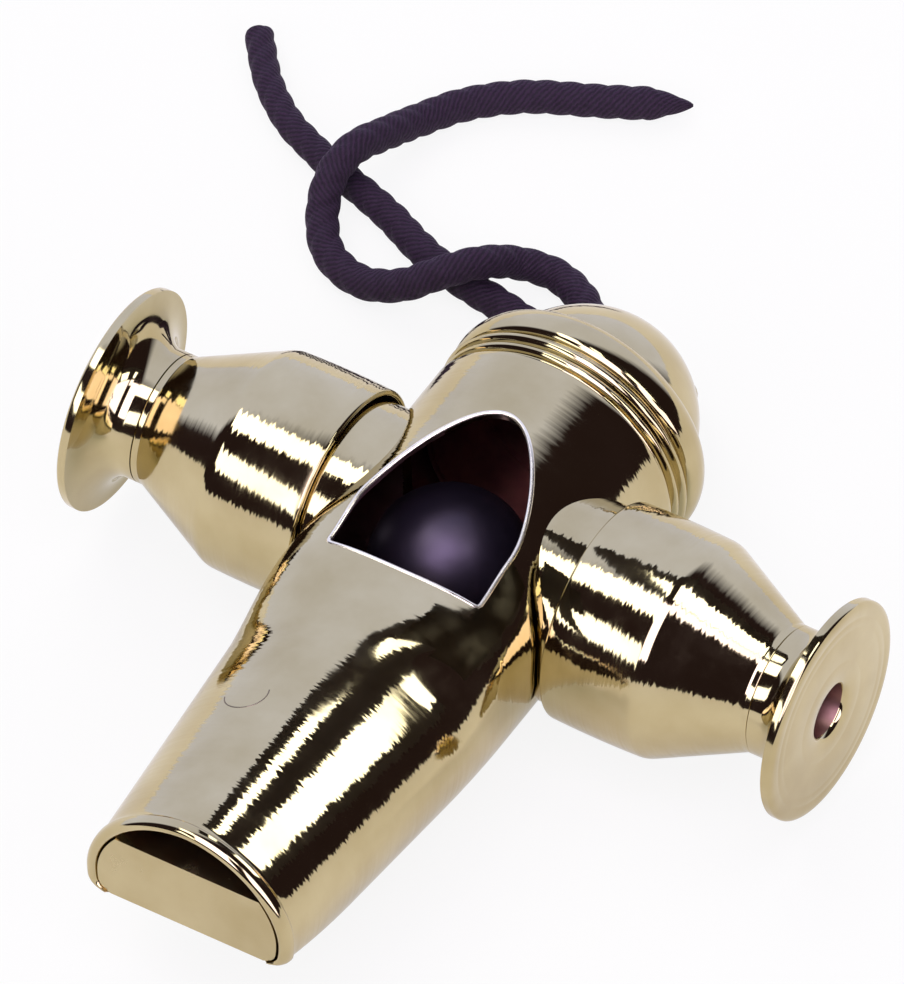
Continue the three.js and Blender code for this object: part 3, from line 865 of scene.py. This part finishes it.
def tube_rings(bead_steps=8, lip_steps=12):
    """Sections along the outside, round the lip and back along the inside."""
    rear = TUBE_REAR_ROUNDING
    rings = [tube_section(TUBE_REAR - rear * (1 - math.sin(a)), -rear * (1 - math.cos(a)))
             for a in (math.pi / 2, math.pi / 4, 0)]
    bead_start = LIP_Y + LIP_BEAD_LENGTH
    bead_end = LIP_Y + LIP_ROUNDING
    rings += [tube_section(y, 0) for y in tube_places(TUBE_REAR - TUBE_REAR_STRAIGHT, bead_start)]
    for k in range(1, bead_steps + 1):
        share = k / bead_steps
        rise = LIP_BEAD_RISE * smooth_step(share, 0, LIP_BEAD_SWELL_SHARE)
        rings.append(tube_section(mix(bead_start, bead_end, share), rise))
    half = (TUBE_WALL + LIP_BEAD_RISE) / 2
    for k in range(1, lip_steps + 1):
        angle = math.pi * k / lip_steps
        y = LIP_Y + LIP_ROUNDING - LIP_ROUNDING * math.sin(angle)
        rings.append(tube_section(y, LIP_BEAD_RISE - half * (1 - math.cos(angle))))
    return rings + [tube_section(y, -TUBE_WALL) for y in tube_places(LIP_Y + LIP_INSIDE_START, TUBE_REAR)]


def in_tube(p, n):
    """Whether a face of the tube looks at its axis, behind the lip."""
    outward = p.x * n.x + p.z * n.z
    return p.y > (LIP_Y + LIP_POLISHED) * MM and outward < INWARD_FACING * math.hypot(p.x, p.z)


def main_tube():
    rings = tube_rings()
    points = [p for ring in rings for p in ring]
    shell = mesh_of("main_tube_shell", points, ring_faces(len(rings), TUBE_SIDES, True))
    front = LIP_Y - CUT_MARGIN
    rear = HEEL_Y + CUT_MARGIN
    side_view = [(front, underside_at(front)), (front, CUT_DEPTH), (rear, CUT_DEPTH),
                 (rear, underside_at(rear))]
    below = prism("underside", side_view, across_tube)
    window = prism("window", window_outline(), lambda x, y, side: (x, y, CUT_REACH * side))
    hole = [(-SIDE_HOLE_REACH, 0), (-SIDE_HOLE_REACH, STUB_BORE), (SIDE_HOLE_REACH, STUB_BORE),
            (SIDE_HOLE_REACH, 0)]
    holes = turned("side_holes", hole, "right", segments=128)
    shell = cut(shell, ("DIFFERENCE", below), ("DIFFERENCE", window), ("DIFFERENCE", holes))
    plate("main_tube_shell", shell, gold_along_y, "main_tube", inside=in_tube)


def bead_along(name, route, radius, count=12, closed=True):
    """A thin round bead along a route on the tube's outside, its middle sunk below the surface."""
    places = [Vector((x, y, roof_at(x, y))) for x, y in route]
    last = len(places) - 1
    points = []
    for i, p in enumerate(places):
        after = places[(i + 1) % len(places) if closed else min(i + 1, last)]
        before = places[i - 1 if closed else max(i - 1, 0)]
        ahead = (after - before).normalized()
        outward = Vector((p.x, 0, p.z)).normalized()
        outward = (outward - ahead * outward.dot(ahead)).normalized()
        across = ahead.cross(outward)
        for k in range(count):
            swing = 2 * math.pi * k / count
            spoke = outward * math.cos(swing) + across * math.sin(swing)
            points.append(p - outward * radius * BEAD_SINK + spoke * radius)
    faces = ring_faces(len(places), count, closed)
    if not closed:
        faces += end_faces(len(places), count)
    return mesh_of(name, points, faces)


def stepped(route, step):
    """A closed route cut into short steps."""
    result = []
    for (x0, y0), (x1, y1) in zip(route, route[1:] + route[:1]):
        count = max(1, round(math.hypot(x1 - x0, y1 - y0) / step))
        result += [(mix(x0, x1, k / count), mix(y0, y1, k / count)) for k in range(count)]
    return result


def window_rim():
    """The window's edge, a thin bead tinted pale: a painted highlight."""
    rim = bead_along("window_rim", stepped(window_outline(), WINDOW_RIM_STEP), WINDOW_RIM_RADIUS)
    plate("window_rim", rim, gold_rim_painted_highlight, smooth=80)


def roof_mark(steps=30):
    """A fine curved scratch on the beak's roof."""
    angles = [math.radians(mix(*MARK_ANGLES, k / steps)) for k in range(steps + 1)]
    x, y = MARK_PLACE
    route = [(x + MARK_RADIUS * math.cos(a), y + MARK_RADIUS * math.sin(a)) for a in angles]
    mark = bead_along("roof_mark", route, MARK_LINE_RADIUS, count=8, closed=False)
    plate("roof_mark", mark, gold_mark, smooth=80)


def fipple():
    """The block that fills the beak below the windway."""
    front = LIP_Y + BLOCK_RECESS
    rear = WINDOW_Y - BLOCK_SETBACK
    side_view = [(front, underside_at(front)), (rear, underside_at(rear)),
                 (rear, ROOF_HEIGHT - TUBE_WALL - WINDWAY_EXIT),
                 (front, LIP_TOP - TUBE_WALL - WINDWAY_MOUTH)]
    wedge = prism("fipple", side_view, across_tube)
    places = tube_places(rear + BLOCK_ROOM_MARGIN, front - BLOCK_ROOM_MARGIN)
    room = capped("fipple_room", [tube_section(y, -TUBE_WALL - BLOCK_FIT) for y in places])
    plate("fipple", cut(wedge, ("INTERSECT", room)), gold_satin, "fipple_block")


# End cap: two small rolls, a groove, a large bead and a slightly pointed dome
def roll(first, last, foot_radius, crest_radius, count=14):
    """A full round roll between two grooves."""
    result = []
    for k in range(count + 1):
        rise = math.sin(math.pi * k / count) ** ROLL_FULLNESS
        result.append((mix(first, last, k / count), mix(foot_radius, crest_radius, rise)))
    return result


def swell(foot, foot_radius, crest, crest_radius):
    """A quarter of an oval that swells from the foot of a bead to its crest."""
    return [(mix(foot, crest, 1 - math.cos(a)), mix(foot_radius, crest_radius, math.sin(a)))
            for a in quarter_turn(16)]


def in_cap(p, n):
    """Whether a face lies on the spigot or in the cap's hollow."""
    return p.y < (CAP_FLOOR + 0.05) * MM and math.hypot(p.x, p.z) < (SPIGOT_RADIUS + 0.05) * MM


def end_cap():
    profile = SPIGOT_EDGE + [(CAP_START, SPIGOT_RADIUS)] + CAP_EDGE
    for row in SMALL_ROLLS:
        profile += roll(*row)
    profile += swell(LARGE_BEAD_FRONT, GROOVE_RADIUS, LARGE_BEAD_CREST, LARGE_BEAD_RADIUS)
    profile += swell(LARGE_BEAD_REAR, DOME_RADIUS, LARGE_BEAD_CREST, LARGE_BEAD_RADIUS)[-2::-1]
    for degrees in DOME_DEGREES:
        a = math.radians(degrees)
        profile.append((DOME_Y + DOME_HEIGHT * math.sin(a) ** DOME_POWER,
                        DOME_RADIUS * math.cos(a) ** DOME_POWER))
    profile += [(DOME_Y + DOME_HEIGHT, 0.0), (CAP_FLOOR, 0.0), (CAP_FLOOR, SPIGOT_BORE),
                (CAP_FRONT, SPIGOT_BORE)]
    mesh = turned("end_cap_turned", profile, "y")
    plate("end_cap_turned", mesh, gold_along_y, "end_cap", smooth=50, inside=in_cap)


# Cord loop: bent wire on a small soldered foot
def loop_point(x, reach, rise):
    """A point of the loop, measured from the crossing of the axes."""
    p = along_loop(x, reach, rise)
    return p.x, p.y - CROSS_Y, p.z - AXIS_HEIGHT


def cord_loop(bends=72, sides=20):
    points = []
    for i in range(bends):
        angle = 2 * math.pi * i / bends
        for k in range(sides):
            swing = 2 * math.pi * k / sides
            out = LOOP_RADIUS + LOOP_WIRE / 2 * math.cos(swing)
            reach = LOOP_REACH + out * math.cos(angle)
            points.append(loop_point(out * math.sin(angle), reach, LOOP_WIRE / 2 * math.sin(swing)))
    wire = mesh_of("cord_loop_wire", points, ring_faces(bends, sides, True))
    plate("cord_loop_wire", wire, gold_turned, "cord_loop")


def loop_foot(sides=40):
    swings = [2 * math.pi * k / sides for k in range(sides)]
    rings = [[loop_point(radius * math.cos(a), reach, radius * math.sin(a)) for a in swings]
             for reach, radius in LOOP_FOOT]
    plate("cord_loop_foot", capped("cord_loop_foot", rings), gold_turned)


# Side arms, with the faces inside each piece that are unpolished and tinted darker as painted shade
def in_stub(p, n):
    return math.hypot(p.y, p.z) < (STUB_BORE + 0.1) * MM


def in_bulb(p, n):
    return p.y * n.y + p.z * n.z < 0 and abs(p.x) > (BULB_START + 0.4) * MM


def in_finger_hole(p, n):
    return abs(p.x) < (FLANGE_FACE - 0.3) * MM and math.hypot(p.y, p.z) < (FINGER_HOLE + 0.05) * MM


def stub(side):
    """A tube that stands on the main tube, hollowed to its round."""
    saddle = capped("saddle", [tube_section(y, STUB_FIT) for y in tube_places(TUBE_REAR, SADDLE_FRONT)])
    profile = rounded([(STUB_START, STUB_BORE), (STUB_START, STUB_RADIUS),
                       (STUB_END, STUB_RADIUS, STUB_EDGE), (STUB_END, STUB_BORE, STUB_EDGE)])
    name = f"stub_{side}_tube"
    mesh = cut(turned(name, profile, side), ("DIFFERENCE", saddle))
    plate(name, mesh, gold_along_x, f"stub_{side}", inside=in_stub)


def bulb(side):
    """A spun bulb: a slightly crowned barrel, a cone and a neck."""
    inner = BULB_RADIUS - BULB_WALL
    neck = NECK_RADIUS - BULB_WALL
    edge = BULB_RADIUS - BULB_CROWN
    crown = [(mix(BULB_START, BULB_SHOULDER, t), BULB_RADIUS - BULB_CROWN * (2 * t - 1) ** 2)
             for t in BULB_CROWN_SHARES]
    corners = [
        (BULB_START, inner, BULB_INNER_EDGE), (BULB_START, edge, BULB_OUTER_EDGE), *crown,
        (BULB_SHOULDER, edge, SHOULDER_FILLET), (NECK_START, NECK_RADIUS, NECK_FILLET),
        (NECK_END, NECK_RADIUS, NECK_EDGE), (NECK_END, neck, NECK_EDGE),
        (NECK_START, neck, NECK_FILLET), (BULB_SHOULDER, inner, SHOULDER_INNER_FILLET),
    ]
    name = f"bulb_{side}_spun"
    mesh = turned(name, rounded(corners, steps=10), side)
    plate(name, mesh, gold_along_x, f"bulb_{side}", inside=in_bulb)


def flange(side):
    """A turned trumpet flange with a spigot, a rounded rim, fine turning lines and a finger hole."""
    neck_seat = NECK_END + FLANGE_NECK_FIT
    flare_start = FLANGE_START + FLANGE_COLLAR
    profile = [(FLANGE_SPIGOT_START, FINGER_HOLE), (FLANGE_SPIGOT_START, FLANGE_SPIGOT_RADIUS),
               (neck_seat, FLANGE_SPIGOT_RADIUS), (neck_seat, NECK_RADIUS)]
    profile += [(flare_start + FLANGE_TRUMPET * math.sin(a),
                 mix(NECK_RADIUS, FLANGE_RADIUS, 1 - math.cos(a))) for a in quarter_turn(20)]
    profile += [(FLANGE_FACE - FLANGE_RIM + FLANGE_EDGE * t, FLANGE_RADIUS) for t in FLANGE_RIM_SHARES]
    profile += [(FLANGE_FACE - FLANGE_EDGE + FLANGE_EDGE * math.sin(a),
                 FLANGE_RADIUS - FLANGE_DOMING * (1 - math.cos(a))) for a in quarter_turn(8)]
    for radius, depth in TURNING_LINES:
        profile += [(FLANGE_FACE, radius + TURNING_LINE_HALF_WIDTH), (FLANGE_FACE - depth, radius),
                    (FLANGE_FACE, radius - TURNING_LINE_HALF_WIDTH)]
    profile += [(FLANGE_FACE - depth, FINGER_HOLE + widening) for depth, widening in FINGER_HOLE_EDGE]
    name = f"flange_{side}_turned"
    plate(name, turned(name, profile, side), gold_turned, f"flange_{side}", inside=in_finger_hole)


def pea():
    """A moulded ball with a faint parting line."""
    low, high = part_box("pea")
    middle = (Vector(low) + Vector(high)) / 2
    across, up = PEA_SEAM_FACING
    work = bmesh.new()
    bmesh.ops.create_icosphere(work, subdivisions=5, radius=1)
    for vertex in work.verts:
        d = vertex.co.normalized()
        seam = math.exp(-((d.x * across + d.z * up) / PEA_SEAM_WIDTH) ** 2)
        vertex.co = middle + d * (PEA_RADIUS - PEA_SEAM_RISE + PEA_SEAM_RISE * seam) * MM
    mesh = bpy.data.meshes.new("pea_ball")
    work.to_mesh(mesh)
    work.free()
    link("pea_ball", mesh, pea_material(), "pea", "black_plastic", "pea")


free_end("cord_short", SHORT_END, blunt)
free_end("cord_long", LONG_END, pointed, LONG_END_TURN)
cord_bend()
main_tube()
window_rim()
roof_mark()
fipple()
end_cap()
cord_loop()
loop_foot()
for arm_side in ("left", "right"):
    stub(arm_side)
    bulb(arm_side)
    flange(arm_side)
pea()


# Stage: a pale floor and a soft studio round it
def sheet(name, corners, material):
    """A flat piece of the stage with four corners."""
    mesh = bpy.data.meshes.new(name)
    mesh.from_pydata(corners, [], [(0, 1, 2, 3)])
    mesh.materials.append(material)
    piece = linked(name, mesh)
    return piece


def white_share(tree):
    """How much of the floor is plain white: most for the camera and through glass, less off metal."""
    rays = add(tree, "ShaderNodeLightPath")
    direct = calc(tree, "MAXIMUM", rays.outputs["Is Camera Ray"], rays.outputs["Is Transmission Ray"])
    return calc(tree, "MAXIMUM", calc(tree, "MULTIPLY", direct, FLOOR_WHITE_SEEN),
                calc(tree, "MULTIPLY", rays.outputs["Is Glossy Ray"], FLOOR_WHITE_MIRRORED))


def pale_floor():
    """A floor that keeps the object's shadow and is partly plain white."""
    material, tree, shader = new_material("pale_floor")
    shader.inputs["Base Color"].default_value = FLOOR_COLOUR
    shader.inputs["Roughness"].default_value = MATT
    shader.inputs["Specular IOR Level"].default_value = 0.0
    glow = add(tree, "ShaderNodeEmission", Strength=1.0)
    glow.inputs["Color"].default_value = (*WHITE, 1)
    blend = add(tree, "ShaderNodeMixShader")
    tree.links.new(white_share(tree), blend.inputs["Fac"])
    tree.links.new(shader.outputs[0], blend.inputs[1])
    tree.links.new(glow.outputs[0], blend.inputs[2])
    tree.links.new(blend.outputs[0], tree.nodes["Material Output"].inputs["Surface"])
    h = FLOOR_HALF
    sheet("floor", [(-h, -h, 0), (h, -h, 0), (h, h, 0), (-h, h, 0)], material)


def studio_world():
    """Pale behind and to the left, dark elsewhere, with white softboxes above and white below."""
    world = bpy.data.worlds.new("studio")
    bpy.context.scene.world = world
    world.use_nodes = True
    tree = world.node_tree
    tree.nodes.clear()
    parts = add(tree, "ShaderNodeSeparateXYZ")
    tree.links.new(add(tree, "ShaderNodeTexCoord").outputs["Generated"], parts.inputs[0])
    x, y, z = (parts.outputs[i] for i in range(3))
    behind_left = calc(tree, "MULTIPLY_ADD", y, BEHIND_WEIGHT, calc(tree, "MULTIPLY", x, -1.0))
    forward = calc(tree, "DEGREES", calc(tree, "ARCTAN2", calc(tree, "MULTIPLY", y, -1.0), z))

    def band(value, low, high, soft):
        """1 between low and high, and 0 outside, with soft edges."""
        return calc(tree, "MULTIPLY", ranged(tree, value, low - soft, low + soft, 0, 1),
                    ranged(tree, value, high - soft, high + soft, 1, 0))

    def mixed(share, low, high):
        """A colour between two, each of them a tuple or a socket."""
        node = add(tree, "ShaderNodeMix", data_type="RGBA")
        tree.links.new(share, node.inputs["Factor"])
        for socket, value in ((node.inputs[6], low), (node.inputs[7], high)):
            if isinstance(value, tuple):
                socket.default_value = (*value, 1)
            else:
                tree.links.new(value, socket)
        return node.outputs[2]

    open_side = calc(tree, "MULTIPLY", ranged(tree, behind_left, *PALE_START, 0, 1),
                     ranged(tree, y, *PALE_FRONT, 0, 1))
    sky = mixed(open_side, DARK_SIDE, PALE_SIDE)
    for reach, span, start, slant, colour in SOFTBOXES:
        lean = calc(tree, "MULTIPLY", calc(tree, "SUBTRACT", x, start), slant)
        ends = band(calc(tree, "ADD", forward, lean), *span, SOFTBOX_END_BLUR)
        box = calc(tree, "MULTIPLY", band(x, *reach, SOFTBOX_SIDE_BLUR), ends)
        sky = mixed(box, sky, colour)
    sky = mixed(ranged(tree, z, *HORIZON, 1, 0), sky, WHITE)
    backdrop = add(tree, "ShaderNodeBackground", Strength=1.0)
    tree.links.new(sky, backdrop.inputs["Color"])
    tree.links.new(backdrop.outputs[0], add(tree, "ShaderNodeOutputWorld").inputs["Surface"])


def area_lamp(name, width, height, power, colour):
    light = bpy.data.lights.new(name, "AREA")
    light.shape = "RECTANGLE"
    light.size = width
    light.size_y = height
    light.energy = power
    light.color = colour
    return linked(name, light)


def key_softbox():
    """A large soft lamp behind and to the left, which metal doesn't mirror."""
    lamp = area_lamp("key_softbox", KEY_SIZE, KEY_SIZE, KEY_POWER, KEY_COLOUR)
    lamp.location = KEY_PLACE
    lamp.rotation_euler = (-Vector(KEY_PLACE)).to_track_quat("-Z", "Y").to_euler()
    lamp.visible_glossy = False


def over_beak(x, y, distance):
    """A point that far above the beak, with x and y measured across and along the card."""
    return at(*BEAK_MIDDLE) + (MIRRORED * distance + ACROSS_CARD * x + ALONG_CARD * y) * MM


def beak_strips():
    for name, left, right, low, high in STRIPS:
        width = (right - left) * MM
        height = (high - low) * MM
        lamp = area_lamp(name, width, height, STRIP_LIGHT * math.pi * width * height, STRIP_COLOUR)
        set_axes(lamp, ACROSS_CARD, ALONG_CARD, MIRRORED)
        lamp.location = over_beak((left + right) / 2, (low + high) / 2, STRIP_DISTANCE)
        lamp.visible_camera = False


def dark_cards():
    """Cards that the metal mirrors, hidden from the camera and casting no shadow."""
    material, _, shader = new_material("dark_card")
    shader.inputs["Base Color"].default_value = CARD_COLOUR
    shader.inputs["Roughness"].default_value = MATT
    cards = (
        ("card_over_beak", [over_beak(x, y, CARD_DISTANCE) for x, y in BEAK_CARD]),
        ("card_over_window", [at(x, y, WINDOW_CARD_HEIGHT) for x, y in WINDOW_CARD]),
        ("card_beside_window", [at(*corner) for corner in SIDE_CARD]),
    )
    for name, corners in cards:
        card = sheet(name, corners, material)
        card.visible_camera = False
        card.visible_diffuse = False
        card.visible_shadow = False


pale_floor()
studio_world()
key_softbox()
beak_strips()
dark_cards()
bpy.context.scene.view_settings.view_transform = "Standard"
